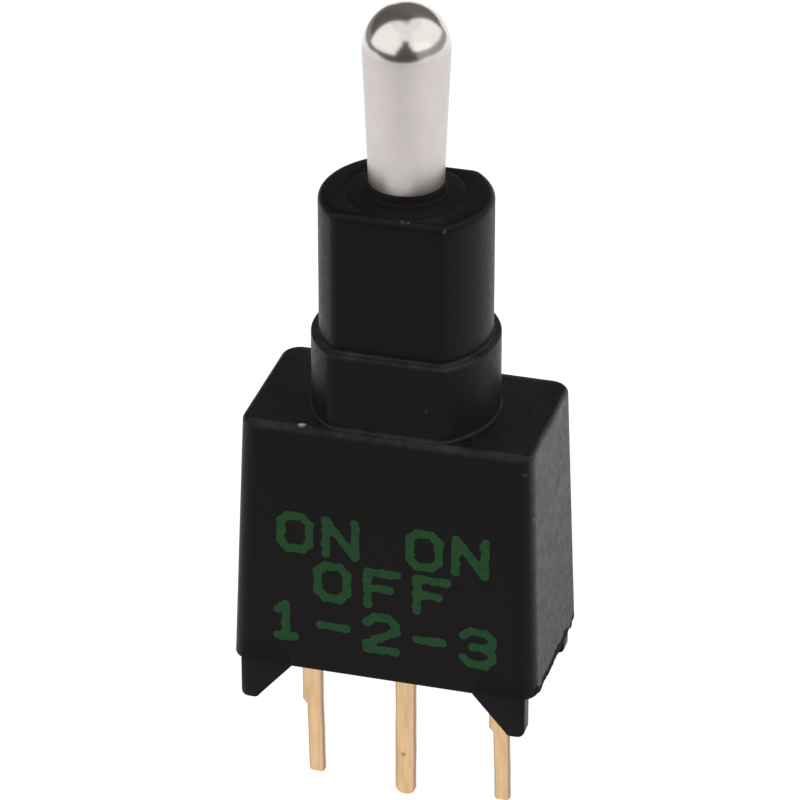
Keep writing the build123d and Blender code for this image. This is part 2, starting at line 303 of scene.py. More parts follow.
def outer_loops():
    """The outside of the moulding from the rim up to the mouth of the bushing."""
    rim_round, body_round, bushing_round = 0.05, BODY_TOP_ROUND, BUSHING_TOP_ROUND
    collar_foot, collar_round, bushing_foot = 0.06, 0.05, 0.04
    margin = 0.04                      # keeps a flat stretch flat up to the rounding next to it

    # (inset, z) of each loop; a fillet at a foot has insets below zero
    body = arc(rim_round, RIM + rim_round, rim_round, 270, 180, 3)
    body += [(0, z) for z in spread(RIM + 0.12, BODY_TOP - body_round - margin, 10)]
    body += arc(body_round, BODY_TOP - body_round, body_round, 180, 90, 7)
    body.append((body_round + margin, BODY_TOP))
    collar = arc(-collar_foot, BODY_TOP + collar_foot, collar_foot, 270, 360, 5)
    collar.append((0, COLLAR_TOP - collar_round - 0.03))
    collar += arc(collar_round, COLLAR_TOP - collar_round, collar_round, 180, 90, 4)
    bushing = arc(-bushing_foot, COLLAR_TOP + bushing_foot, bushing_foot, 270, 360, 3)
    bushing += [(0, z)
                for z in spread(COLLAR_TOP + 0.1, BUSHING_TOP - bushing_round - margin, 8)]
    bushing += arc(bushing_round, BUSHING_TOP - bushing_round, bushing_round, 180, 90, 7)

    loops = [block(inset, z) for inset, z in body]
    loops += [double_d(COLLAR_RADIUS, COLLAR_HALF_FLAT, z, inset) for inset, z in collar]
    loops += [double_d(BUSHING_RADIUS, BUSHING_HALF_FLAT, z, inset) for inset, z in bushing]
    return loops


def inner_loops():
    """The lever's well, the room below it and the inner walls down to the rim."""
    rim_bevel = 0.04
    profile = arc(MOUTH_RADIUS + MOUTH_ROUND, BUSHING_TOP - MOUTH_ROUND, MOUTH_ROUND, 90, 180, 4)
    profile += line(profile[-1], (MOUTH_RADIUS, PIVOT + SEAT_HEIGHT + SEAT_CONE), 3)
    start = degrees(atan2(SEAT_HEIGHT, sqrt(SOCKET_RADIUS ** 2 - SEAT_HEIGHT ** 2)))
    profile += arc(0, PIVOT, SOCKET_RADIUS, start, 0, 6)
    guide = PIVOT - SOCKET_SKIRT
    profile += [(SOCKET_RADIUS, guide), (MOUTH_RADIUS, guide), (MOUTH_RADIUS, SWING_TOP),
                (SWING_RADIUS, SWING_TOP), (SWING_RADIUS, CEILING)]
    loops = [circle(r, z) for r, z in profile]
    loops += [block(WALL, z) for z in spread(CEILING, RIM + rim_bevel, 4)]
    loops.append(block(WALL - rim_bevel, RIM))
    return loops


def body_core():
    """The body's outline carried down past the feet, which trims their outer faces."""
    buried, proud, below = 0.14, 0.001, -0.2
    top = RIM + buried
    loops = [[(x, y, z) for x, y, _ in block(-proud, level)]
             for level, z in ((RIM, below), (RIM, RIM), (top, top))]
    return skinned("body_core", loops, capped=True)


def foot(side, face):
    """One corner fin: upright outer edge, sloping inner edge, blunt tip, softened all round."""
    setback, tip_width, slope_run, buried, corner = 0.25, 0.42, 0.95, 0.4, 0.15
    outer = housing_high.x - setback
    inner = outer - tip_width
    turn = 90 + degrees(atan2(RIM, slope_run))
    outline = [(outer, RIM + buried)]
    outline += arc(outer - corner, corner, corner, 0, -90, 5)
    outline += arc(inner + corner * 0.4, corner, corner, -90, -turn - 20, 4)
    outline += [(inner - slope_run, RIM), (inner - slope_run, RIM + buried)]
    fin = prism("foot", [(side * x, z) for x, z in outline],
                face * (housing_high.y - WALL), face * (housing_high.y + 0.1))
    trimmed = combined(fin, body_core(), "INTERSECT")
    return bevelled(trimmed, width=0.035, segments=2, angle=40)


def keyway():
    """The slot for the pivot pin's ends, open downwards."""
    half_width, half_length, depth = 0.28, 1.46, 0.6
    outline = arc(0, PIVOT, half_width, 0, 180, 12)
    outline += [(-half_width, PIVOT - depth), (half_width, PIVOT - depth)]
    return prism("keyway", outline, -half_length, half_length)


def flash():
    """The ragged skin of plastic left along the rim of the +X side."""
    chance = random.Random(12)
    reach, rooted, skin, sunk = 1.72, 0.06, 0.012, 0.12
    ragged = [(y, RIM - chance.uniform(0.03, 0.12)) for y in spread(-reach, reach, 26)]
    outline = [(-reach, RIM + rooted)] + ragged + [(reach, RIM + rooted)]
    strip = prism("flash", outline, -housing_high.x + skin, -housing_high.x + sunk)
    strip.data.transform(Matrix.Rotation(radians(90), 4, "Z"))
    return strip


def build_housing(material):
    housing = skinned("housing_moulding", outer_loops() + inner_loops())
    combined(housing, flash(), "UNION")
    for side in (-1, 1):
        for face in (-1, 1):
            combined(housing, foot(side, face), "UNION")
    combined(housing, keyway(), "DIFFERENCE")
    return piece(housing, "housing", material, "housing", "housing", angle=40)


# ---------------------------------------------------------------- lever
def build_lever(material):
    """The turned lever: polished dome, satin taper, seal groove, ball, skirt and bore."""
    tip, waist, neck, flange, skirt, bore = 1.1, 0.935, 0.7, 0.88, 0.8, 0.55
    groove, edge = 0.02, 0.05
    dome, neck_top, bore_end = LEVER_TOP - tip, PIVOT + 1.08, PIVOT - 0.5
    taper = (tip - waist) / (dome - BUSHING_TOP)
    shoulder = seal_high.z + groove
    profile = [(0, LEVER_TOP)]
    profile += arc(0, dome, tip, 89, 0, 40)
    profile += line((tip, dome), (waist, BUSHING_TOP), 24)
    profile += line((waist, BUSHING_TOP), (waist - (BUSHING_TOP - shoulder) * taper, shoulder), 2)
    profile += [(neck, shoulder), (neck, seal_low.z - groove), (flange, seal_low.z - groove),
                (flange, neck_top), (neck, neck_top)]
    start = degrees(atan2(sqrt(BALL_RADIUS ** 2 - neck ** 2), neck))
    end = -degrees(atan2(sqrt(BALL_RADIUS ** 2 - skirt ** 2), skirt))
    profile += arc(0, PIVOT, BALL_RADIUS, start, end, 24)
    profile += [(skirt, LEVER_BOTTOM + edge), (skirt - edge, LEVER_BOTTOM), (bore, LEVER_BOTTOM),
                (bore, bore_end), (0, bore_end)]
    lever = turned("lever_turned", profile, 192)
    return piece(lever, "lever", material, "lever", "lever", angle=40)


def build_seal_lip(material):
    """The thin rubber lip that closes the mouth round the lever."""
    low, high = BUSHING_TOP + 0.012, BUSHING_TOP + 0.06
    outer, run, thin, grip, collar, root, edge = 1.43, 0.4, 0.07, 0.935, 0.25, 0.3, 0.03
    inner = outer - run
    flange = MOUTH_RADIUS + MOUTH_ROUND + 0.04

    def slope(reach):
        """From the outer bead to the inner one; it draws in along an S-curve as it rises evenly."""
        return [(reach - run * t * t * (3 - 2 * t), low + (high - low) * t)
                for t in spread(0, 1, 14)]

    profile = [(outer, low - root), (outer, BUSHING_TOP - 0.01), (flange, BUSHING_TOP - 0.002),
               (flange, BUSHING_TOP + 0.004), (flange - 0.015, low)]
    profile += slope(outer)
    profile += [(inner - 0.015, high + 0.05), (inner - 0.04, high + 0.12)]
    profile += arc(grip + 0.025, high + collar - edge, edge, 20, 90, 4)
    profile += [(grip, high + collar), (grip, high)]
    profile += list(reversed(slope(outer - thin)))[1:]
    profile += [(outer - thin, low - root)]
    lip = turned("seal_lip", profile, 128)
    lip.data.transform(Matrix.Scale(MM, 4))
    smooth(lip, 50)
    lip.data.materials.append(material)
    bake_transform(lip)
    return lip


def build_spring(material):
    """The coil between lever and plunger."""
    wire, radius, travel = 0.06, 0.4, 0.3
    winding = 3.5 * 2 * pi
    low, high = (corner.z for corner in box_mm("plunger_spring"))
    climb = high - low - 2 * wire
    loops = []
    for t in spread(0, winding, 140):
        middle = Vector((radius * cos(t), radius * sin(t), low + wire + climb * t / winding))
        along = Vector((-radius * sin(t), radius * cos(t), climb / winding)).normalized()
        out = Vector((cos(t), sin(t), 0))
        up = along.cross(out)
        loops.append([tuple(middle + wire * (cos(a) * out + sin(a) * up))
                      for a in spread(0, 2 * pi, 12)[:-1]])
    coil = piece(skinned("spring_coil", loops, capped=True), "lever", material,
                 "spring_steel", "plunger_spring", angle=50)
    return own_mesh(coil)


# ---------------------------------------------------------------- pins
HEAD_BOTTOM = 4.1
HEAD_HEIGHT = 0.22
SHANK_TOP = HEAD_BOTTOM + 0.1          # inside the head
PIN_HALF = 0.11
SHANK_HALF = 0.27


def blade(name, corners, chance):
    """A stamped pin with rolled edges, from its outline; long edges wander a little."""
    step, wander = 0.4, 0.006
    outline = corners[:1]
    for a, b in zip(corners, corners[1:]):
        steps = max(1, round(hypot(b[0] - a[0], b[1] - a[1]) / step))
        points = line(a, b, steps)
        outline += [(x + chance.uniform(-wander, wander), z) for x, z in points[:-1]]
        outline += points[-1:]
    return bevelled(prism(name, outline, -PIN_HALF, PIN_HALF), width=0.06, segments=3, angle=40)


def slab(half_y):
    """The flat head of a pin."""
    half_x, low, high = 0.45, HEAD_BOTTOM, HEAD_BOTTOM + HEAD_HEIGHT
    outline = [(-half_x, low), (half_x, low), (half_x, high), (-half_x, high)]
    return bevelled(prism("head", outline, -half_y, half_y), width=0.03, segments=2, angle=40)


def end_pin(side, chance):
    """Wide shank, a step in on the -X side below the board, and a slight lean under it."""
    width, shoulder, taper, lean, tip, corner = 0.42, -1.35, 0.15, 0.05, end_low.z, 0.1
    left, right = SHANK_HALF - width, SHANK_HALF + lean
    corners = [(-SHANK_HALF, SHANK_TOP), (-SHANK_HALF, shoulder), (left, shoulder - taper)]
    corners += arc(left + lean + corner, tip + corner, corner, 180, 270, 4)
    corners += arc(right - corner, tip + corner, corner, 270, 360, 4)
    corners += [(SHANK_HALF, shoulder), (SHANK_HALF, SHANK_TOP)]
    name = "pin_left" if side < 0 else "pin_right"
    pin = combined(blade(name, corners, chance), slab(0.45), "UNION")
    pin.data.transform(Matrix.Translation((side * (end_low.x + end_high.x) / 2, 0, 0)))
    return pin


def common_pin(chance):
    """The middle pin, with the notched ears of the rocker's cradle on its head."""
    tip, corner, notch = common_low.z, 0.24, 0.14
    ear_half, ear_inner, ear_outer = 0.31, 0.81, 1.01
    corners = [(-SHANK_HALF, SHANK_TOP)]
    corners += arc(-SHANK_HALF + corner, tip + corner, corner, 180, 270, 7)
    corners += arc(SHANK_HALF - corner, tip + corner, corner, 270, 360, 7)
    corners.append((SHANK_HALF, SHANK_TOP))
    pin = combined(blade("pin_common", corners, chance), slab(ear_outer), "UNION")
    ear = [(-ear_half, SHANK_TOP), (-ear_half, common_high.z), (-notch, common_high.z)]
    ear += arc(0, ROCKER_AXIS, notch, 180, 360, 12)
    ear += [(notch, common_high.z), (ear_half, common_high.z), (ear_half, SHANK_TOP)]
    for face in (-1, 1):
        combined(pin, prism("ear", ear, face * ear_inner, face * ear_outer), "UNION")
    return pin


def build_pins(material):
    chance = random.Random(9)
    for pin, node in ((end_pin(-1, chance), "terminal_left"),
                      (common_pin(chance), "terminal_common"),
                      (end_pin(1, chance), "terminal_right")):
        piece(pin, "housing", material, "terminal", node, angle=40)


# ---------------------------------------------------------------- printed marks
STROKE = 0.122                         # half the width of a printed stroke
PRINT_DEPTH = 0.1                      # of the dots, before they are flattened on the wall
PRINT_PROUD = 0.008
PRINT_VOXEL = 0.022
DOT_SPACING = 0.13
DOT_SIDES = 14
DOT_WANDER = 0.016
GLYPH_WIDTH, GLYPH_HEIGHT = 0.76, 0.94

# Strokes of each sign in its cell, in shares of the cell's width and height.
GLYPHS = {
    "O": [[(0.25, 0), (0, 0.2), (0, 0.8), (0.25, 1), (0.75, 1), (1, 0.8), (1, 0.2), (0.75, 0),
           (0.25, 0)]],
    "N": [[(0, 0), (0, 1), (1, 0), (1, 1)]],
    "F": [[(0, 0), (0, 1), (1, 1)], [(0, 0.52), (0.75, 0.52)]],
    "1": [[(0.2, 0.8), (0.5, 1), (0.5, 0)], [(0.2, 0), (0.8, 0)]],
    "2": [[(0, 0.8), (0.25, 1), (0.75, 1), (1, 0.8), (1, 0.6), (0, 0.15), (0, 0), (1, 0)]],
    "3": [[(0, 0.85), (0.25, 1), (0.75, 1), (1, 0.8), (1, 0.65), (0.7, 0.52), (1, 0.38),
           (1, 0.18), (0.75, 0), (0.25, 0), (0, 0.15)], [(0.35, 0.52), (0.7, 0.52)]],
    "-": [[(0.05, 0.5), (0.95, 0.5)]],
}
# The height of each row's middle, and the place of each sign along it.
PRINT_ROWS = (
    (5.06, ((-2.3, "O"), (-1.1, "N"), (1.1, "O"), (2.3, "N"))),
    (3.76, ((-1.31, "O"), (0, "F"), (1.31, "F"))),
    (2.47, ((-2.54, "1"), (-1.27, "-"), (0, "2"), (1.27, "-"), (2.54, "3"))),
)


def stroke_dots(chance):
    """Centres and radii of the ink dots that make up all the signs."""
    dots = []
    for row_z, signs in PRINT_ROWS:
        for x, sign in signs:
            for stroke in GLYPHS[sign]:
                path = [Vector((x + (u - 0.5) * GLYPH_WIDTH, row_z + (v - 0.5) * GLYPH_HEIGHT))
                        for u, v in stroke]
                for a, b in zip(path, path[1:]):
                    for share in spread(0, 1, max(1, round((b - a).length / DOT_SPACING))):
                        spot = a.lerp(b, share)
                        spot.x += chance.uniform(-DOT_WANDER, DOT_WANDER)
                        spot.y += chance.uniform(-DOT_WANDER, DOT_WANDER)
                        dots.append((spot, STROKE * chance.uniform(0.88, 1.1)))
    return dots


def wall_y(z):
    """The front wall's place at a level."""
    return -(housing_high.y - (z - RIM) * SLOPE)


def build_print(material):
    """Ink dots run together into one thin film that lies on the leaning front wall."""
    points, faces = [], []
    for spot, radius in stroke_dots(random.Random(4)):
        first = len(points)
        for y in (-PRINT_DEPTH / 2, PRINT_DEPTH / 2):
            for i in range(DOT_SIDES):
                t = 2 * pi * i / DOT_SIDES
                points.append((spot.x + radius * cos(t), y, spot.y + radius * sin(t)))
        front = list(range(first, first + DOT_SIDES))
        back = list(range(first + DOT_SIDES, first + 2 * DOT_SIDES))
        faces += [tuple(front), tuple(reversed(back))]
        faces += [(front[i], back[i], back[(i + 1) % DOT_SIDES], front[(i + 1) % DOT_SIDES])
                  for i in range(DOT_SIDES)]
    marks = mesh_object("printed_marks", points, faces)
    remesh = marks.modifiers.new("remesh", "REMESH")
    remesh.mode = "VOXEL"
    remesh.voxel_size = PRINT_VOXEL
    applied(marks)
    for vertex in marks.data.vertices:
        x, y, z = vertex.co
        depth = PRINT_PROUD if y < 0 else -PRINT_PROUD
        vertex.co = (x, wall_y(z) - depth, z)
    return piece(outward(marks), "housing", material, "housing")


# ---------------------------------------------------------------- shader nodes
NOISE_LOW, NOISE_HIGH = 0.3, 0.7       # most of a noise lies between these


def new_material(name):
    material = bpy.data.materials.new(name)
    material.use_nodes = True
    tree = material.node_tree
    return material, tree, tree.nodes["Principled BSDF"]


def noise_node(tree, per_mm, detail=4, rough=0.6, stretch=(1, 1, 1)):
    """Noise in object space with a given number of features per millimetre."""
    coords = tree.nodes.new("ShaderNodeTexCoord")
    mapping = tree.nodes.new("ShaderNodeMapping")
    mapping.inputs["Scale"].default_value = [per_mm / MM * s for s in stretch]
    noise = tree.nodes.new("ShaderNodeTexNoise")
    noise.inputs["Scale"].default_value = 1.0
    noise.inputs["Detail"].default_value = detail
    noise.inputs["Roughness"].default_value = rough
    tree.links.new(coords.outputs["Object"], mapping.inputs["Vector"])
    tree.links.new(mapping.outputs["Vector"], noise.inputs["Vector"])
    return noise.outputs["Fac"]


def place(tree, kind="Object"):
    """Object coordinates in metres, or the normal in them, and their three parts."""
    coords = tree.nodes.new("ShaderNodeTexCoord")
    split = tree.nodes.new("ShaderNodeSeparateXYZ")
    tree.links.new(coords.outputs[kind], split.inputs["Vector"])
    return coords.outputs[kind], split.outputs


def computed(tree, operation, first, second=0.0):
    """A maths node over values or sockets."""
    node = tree.nodes.new("ShaderNodeMath")
    node.operation = operation
    for socket, value in zip(node.inputs, (first, second)):
        if isinstance(value, (int, float)):
            socket.default_value = value
        else:
            tree.links.new(value, socket)
    return node.outputs[0]


def product(tree, first, *others):
    for other in others:
        first = computed(tree, "MULTIPLY", first, other)
    return first


def mapped(tree, value, low, high, to_low=0, to_high=1):
    """Carries low to high over to another range, and holds what lies beyond at its ends."""
    node = tree.nodes.new("ShaderNodeMapRange")
    for name, number in (("From Min", low), ("From Max", high), ("To Min", to_low),
                         ("To Max", to_high)):
        node.inputs[name].default_value = number
    tree.links.new(value, node.inputs["Value"])
    return node.outputs["Result"]


def mapped_mm(tree, value, low, high, to_low=0, to_high=1):
    """The same for a length in the shader's metres, with low and high in millimetres."""
    return mapped(tree, value, low * MM, high * MM, to_low, to_high)


def ramp(tree, value, stops):
    """Colours along a value, from (position, colour) stops."""
    node = tree.nodes.new("ShaderNodeValToRGB")
    elements = node.color_ramp.elements
    while len(elements) < len(stops):
        elements.new(0.5)
    for element, (position, colour) in zip(elements, stops):
        element.position = position
        element.color = (*colour, 1)
    tree.links.new(value, node.inputs["Fac"])
    return node.outputs["Color"]


def two_tone(tree, noise, dark, light, low=NOISE_LOW, high=NOISE_HIGH):
    return ramp(tree, noise, ((low, dark), (high, light)))


def blended(tree, factor, low, high):
    """The low colour where the factor is 0, the high one where it is 1."""
    node = tree.nodes.new("ShaderNodeMix")
    node.data_type = "RGBA"
    tree.links.new(factor, node.inputs[0])
    for socket, value in ((node.inputs[6], low), (node.inputs[7], high)):
        if isinstance(value, tuple):
            socket.default_value = (*value, 1)
        else:
            tree.links.new(value, socket)
    return node.outputs[2]


def spot_share(tree, position, centre, core, edge, share=1):
    """A round spot: the share within its core, and nothing beyond its edge."""
    apart = tree.nodes.new("ShaderNodeVectorMath")
    apart.operation = "DISTANCE"
    tree.links.new(position, apart.inputs[0])
    apart.inputs[1].default_value = [c * MM for c in centre]
    return mapped_mm(tree, apart.outputs["Value"], core, edge, share, 0)


def bump(tree, shader, height, depth_mm, strength=0.5):
    node = tree.nodes.new("ShaderNodeBump")
    node.inputs["Strength"].default_value = strength
    node.inputs["Distance"].default_value = depth_mm * MM
    tree.links.new(height, node.inputs["Height"])
    tree.links.new(node.outputs["Normal"], shader.inputs["Normal"])


# ---------------------------------------------------------------- black moulding
BLACK = ((0.0042, 0.0024, 0.0029), (0.0074, 0.0048, 0.0054))
# light grey painted on the edges as highlights, and low on the collar as fill light
PAINTED_LIGHT_GREY = (0.058, 0.056, 0.054)
# light grey for the sides: real mottled dust and a painted reflection of the side lights
SIDE_DUST_AND_SHEEN = (0.125, 0.122, 0.119)
BLACK_SPECULAR = 0.117
# Painted highlights along the moulding's edges and painted fill light at the collar's foot, from the body's top
# up: height on the part and share.
PAINTED_EDGE_HIGHLIGHTS = (
    (BODY_TOP - 0.15, 0), (BODY_TOP - 0.1, 0.4), (BODY_TOP - 0.03, 0.62), (BODY_TOP - 0.003, 0),
    (BODY_TOP + 0.003, 0), (BODY_TOP + 0.02, 1), (BODY_TOP + 0.05, 0.75),
    (BODY_TOP + 0.1, 0.08), (BODY_TOP + 0.6, 0), (COLLAR_TOP - 0.1, 0),
    (COLLAR_TOP - 0.05, 0.4), (COLLAR_TOP - 0.01, 0.72), (COLLAR_TOP + 0.03, 0.72),
    (COLLAR_TOP + 0.08, 0), (BUSHING_TOP - 0.2, 0), (BUSHING_TOP - 0.15, 0.06),
    (BUSHING_TOP - 0.06, 0.12), (BUSHING_TOP - 0.012, 0.45), (BUSHING_TOP - 0.001, 0),
)
# Dust specks and nicks, and a painted glint (the first, on the body's top near the front-left corner): place,
# radius and lightness.
SPECKS_AND_GLINT = (
    # the first entry is a painted glint, the rest are specks and nicks
    ((-2.18, -1.92, 8.03), 0.13, 0.55), ((-1.15, -2.09, 8.0), 0.12, 0.05),
    ((0.36, -1.6, 13.96), 0.09, 0.07), ((0.5, -1.62, 13.95), 0.05, 0.1),
    ((1.42, -1.66, 13.85), 0.08, 0.09), ((1.6, -1.6, 13.86), 0.05, 0.06),
    ((1.05, -1.9, 8.92), 0.07, 0.05), ((3.6, -1.98, 7.55), 0.1, 0.1),
    ((3.84, -1.84, 6.19), 0.08, 0.16), ((3.9, -0.92, 4.94), 0.08, 0.14),
    ((3.3, 0.2, 8.03), 0.05, 0.08),
)
SPECK_CORE = 0.35                      # share of a speck's radius that is full


def straightened(tree, side, lean):
    """How far a point is from the middle, with the leaning walls set upright."""
    return computed(tree, "ADD", computed(tree, "ABSOLUTE", side), lean)


def painted_edge_highlights(tree, y, z, lean):
    """Patchy painted highlights along the edges, and painted light on the body's top between the collar's flats
    and its edge.
    """
    height = product(tree, z, 1 / (BUSHING_TOP * MM))
    bands = ramp(tree, height, [(level / BUSHING_TOP, (share,) * 3)
                                for level, share in PAINTED_EDGE_HIGHLIGHTS])
    half_depth = housing_high.y + RIM * SLOPE
    # painted light strip along the top's front and back edges, where the narrow top lies in shade
    near_edge = mapped_mm(tree, straightened(tree, y, lean), half_depth - 0.27, half_depth - 0.2,
                          0, 0.75)
    off_top = computed(tree, "ABSOLUTE", computed(tree, "SUBTRACT", z, BODY_TOP * MM))
    strip = product(tree, near_edge, mapped_mm(tree, off_top, 0.02, 0.04, 1, 0))
    patches = noise_node(tree, 1.6, detail=6, rough=0.7)
    patches = mapped(tree, patches, 0.35, 0.65, 0.35, 1.1)
    return product(tree, computed(tree, "MAXIMUM", bands, strip), patches)


def collar_painted_fill(tree, x, z):
    """Painted fill light low on the collar's round sides, which stand in shade."""
    return product(tree, mapped_mm(tree, z, BODY_TOP + 0.1, BODY_TOP + 0.9, 0.2, 0),
                   mapped_mm(tree, computed(tree, "ABSOLUTE", x), 1.2, 1.8),
                   mapped_mm(tree, z, BODY_TOP + 0.01, BODY_TOP + 0.04))


def flank_dust_and_sheen(tree, z, flank):
    """Mottled dust on the body's sides with a painted reflection over it, lighter towards the top."""
    mottle = noise_node(tree, 2.2, detail=8, rough=0.75, stretch=(1, 0.45, 1))
    mottle = mapped(tree, mottle, 0.36, 0.64, 0.25, 0.9)
    return product(tree, mapped_mm(tree, z, RIM, BODY_TOP), mottle, flank)


def dull_rim(tree, z, flank):
    """The sides stay matt below a line that wanders along the rim."""
    wander = mapped(tree, noise_node(tree, 1.8, detail=5), NOISE_LOW, NOISE_HIGH, 0.02 * MM,
                    0.3 * MM)
    over_rim = computed(tree, "SUBTRACT", z, wander)
    return product(tree, mapped_mm(tree, over_rim, RIM, RIM + 0.05, 0.5, 0), flank)


def black_plastic():
    """Black moulding: fine grain, painted highlights on the edges, painted fill light low on the collar, dusty
    sides with a painted reflection, a few specks and a painted glint.
    """
    material, tree, shader = new_material("black_moulding")
    position, (x, y, z) = place(tree)
    lean = product(tree, z, SLOPE)
    half_length = housing_high.x + RIM * SLOPE
    flank = mapped_mm(tree, straightened(tree, x, lean), half_length - 0.12, half_length)

    grain = noise_node(tree, 5)
    # painted highlights on the edges and painted fill light on the collar
    painted_light = computed(tree, "MAXIMUM", painted_edge_highlights(tree, y, z, lean), collar_painted_fill(tree, x, z))
    colour = blended(tree, painted_light, two_tone(tree, grain, *BLACK), PAINTED_LIGHT_GREY)
    # mottled dust and a painted reflection on the sides
    colour = blended(tree, flank_dust_and_sheen(tree, z, flank), colour, SIDE_DUST_AND_SHEEN)
    # dust specks, nicks and one painted glint
    for centre, radius, light in SPECKS_AND_GLINT:
        share = spot_share(tree, position, centre, radius * SPECK_CORE, radius)
        ragged = mapped(tree, noise_node(tree, 9, detail=3), 0.38, 0.55)
        colour = blended(tree, product(tree, share, ragged), colour,
                         (light, light, light * 0.97))
    tree.links.new(colour, shader.inputs["Base Color"])

    sheen = mapped(tree, grain, NOISE_LOW, NOISE_HIGH, 0.36, 0.5)
    roughness = computed(tree, "ADD", sheen, dull_rim(tree, z, flank))
    tree.links.new(roughness, shader.inputs["Roughness"])
    shader.inputs["Specular IOR Level"].default_value = BLACK_SPECULAR
    bump(tree, shader, noise_node(tree, 15), 0.004)
    return material


# ---------------------------------------------------------------- metals, ink and the rest
SATIN_NICKEL = ((0.615, 0.568, 0.545), (0.67, 0.62, 0.595))
BRIGHT_NICKEL = ((0.75, 0.725, 0.69), (0.79, 0.77, 0.735))
DOME_EDGE = LEVER_TOP - 1.08           # where the taper turns into the dome
GOLD = ((0.6, 0.395, 0.225), (0.84, 0.57, 0.32))
# duller browner colour for the faces that look along X
SIDE_FACE_GOLD = (0.36, 0.25, 0.165)
STAIN = (0.3, 0.17, 0.08)
STAIN_PLACE = (-0.04, -PIN_HALF, -2.6)


def nickel():
    """Satin along the taper, polished on the dome."""
    material, tree, shader = new_material("nickel_plate")
    _, (_, _, z) = place(tree)
    gleam = mapped_mm(tree, z, DOME_EDGE + 0.08, DOME_EDGE + 0.25)
    satin = two_tone(tree, noise_node(tree, 1.2, detail=6, rough=0.7), *SATIN_NICKEL)
    bright = two_tone(tree, noise_node(tree, 1.5), *BRIGHT_NICKEL)
    tree.links.new(blended(tree, gleam, satin, bright), shader.inputs["Base Color"])
    tree.links.new(mapped_mm(tree, z, DOME_EDGE - 0.03, DOME_EDGE + 0.06, 0.38, 0.19),
                   shader.inputs["Roughness"])
    shader.inputs["Metallic"].default_value = 1
    bump(tree, shader, noise_node(tree, 4, stretch=(0.3, 0.3, 4)), 0.002, 0.4)
    return material


def gold():
    """Gold plate with drawn streaks, duller and browner on the faces that look along X."""
    material, tree, shader = new_material("gold_plate")
    streaks = noise_node(tree, 6, detail=5, stretch=(1, 1, 0.12))
    _, (facing, _, _) = place(tree, "Normal")
    facing_sideways = mapped(tree, computed(tree, "ABSOLUTE", facing), 0.1, 0.8)
    colour = blended(tree, facing_sideways, two_tone(tree, streaks, *GOLD, 0.32, 0.68), SIDE_FACE_GOLD)
    position, _ = place(tree)
    stain = spot_share(tree, position, STAIN_PLACE, 0.03, 0.09, 0.75)
    tree.links.new(blended(tree, stain, colour, STAIN), shader.inputs["Base Color"])
    tree.links.new(mapped(tree, streaks, NOISE_LOW, NOISE_HIGH, 0.28, 0.42),
                   shader.inputs["Roughness"])
    shader.inputs["Metallic"].default_value = 1
    bump(tree, shader, noise_node(tree, 8), 0.004)
    return material


def plain_surface(name, dark, light, metallic, roughness, per_mm, grain_mm, specular=0.5):
    """A surface whose colour, gloss and grain vary with noise."""
    material, tree, shader = new_material(name)
    value = noise_node(tree, per_mm)
    tree.links.new(two_tone(tree, value, dark, light), shader.inputs["Base Color"])
    tree.links.new(mapped(tree, value, NOISE_LOW, NOISE_HIGH, *roughness),
                   shader.inputs["Roughness"])
    shader.inputs["Metallic"].default_value = metallic
    shader.inputs["Specular IOR Level"].default_value = specular
    bump(tree, shader, noise_node(tree, 3 * per_mm), grain_mm)
    return material


# What plain_surface() is given: by slot for the nodes inside, and then for the ink and the lip.
INNER_SURFACES = {
    "base": ("thermoset", (0.012, 0.012, 0.012), (0.02, 0.02, 0.02), 0, (0.5, 0.65), 4, 0.003),
    "seal_resin": ("epoxy", (0.02, 0.016, 0.012), (0.035, 0.03, 0.024), 0, (0.15, 0.3), 1.5,
                   0.01),
    "contact": ("contact_gold", (0.86, 0.64, 0.3), (0.92, 0.72, 0.38), 1, (0.2, 0.35), 3, 0.002),
    "rocker": ("bronze_strip", (0.78, 0.58, 0.28), (0.86, 0.66, 0.36), 1, (0.25, 0.4), 2, 0.003),
    "pin_steel": ("ground_steel", (0.5, 0.5, 0.51), (0.58, 0.58, 0.59), 1, (0.2, 0.35), 4,
                  0.002),
    "seal_rubber": ("nitrile", (0.015, 0.015, 0.015), (0.03, 0.03, 0.03), 0, (0.5, 0.7), 4,
                    0.004),
    "plunger": ("nylon", (0.72, 0.7, 0.63), (0.82, 0.8, 0.74), 0, (0.35, 0.5), 2, 0.003),
    "spring_steel": ("spring_wire", (0.45, 0.45, 0.46), (0.55, 0.55, 0.57), 1, (0.2, 0.3), 4,
                     0.002),
}
GREEN_INK = ("green_ink", (0.012, 0.062, 0.019), (0.022, 0.095, 0.031), 0, (0.5, 0.7), 3, 0.003,
             0.2)
LIP_RUBBER = ("lip_rubber", (0.006, 0.0055, 0.005), (0.01, 0.0092, 0.0085), 0, (0.5, 0.65), 6,
              0.004, 0.13)


def dress_inner_nodes():
    """Gives the nodes of the inside and the pins their surfaces; returns these by slot."""
    surfaces = {slot: plain_surface(*values) for slot, values in INNER_SURFACES.items()}
    surfaces["terminal"] = gold()
    for part in frame["record"]["subparts"]:
        if part["node"] not in ("housing", "lever"):
            node = frame["nodes"][part["node"]]
            node.data.materials.clear()
            node.data.materials.append(surfaces[part["material_slot"]])
    return surfaces


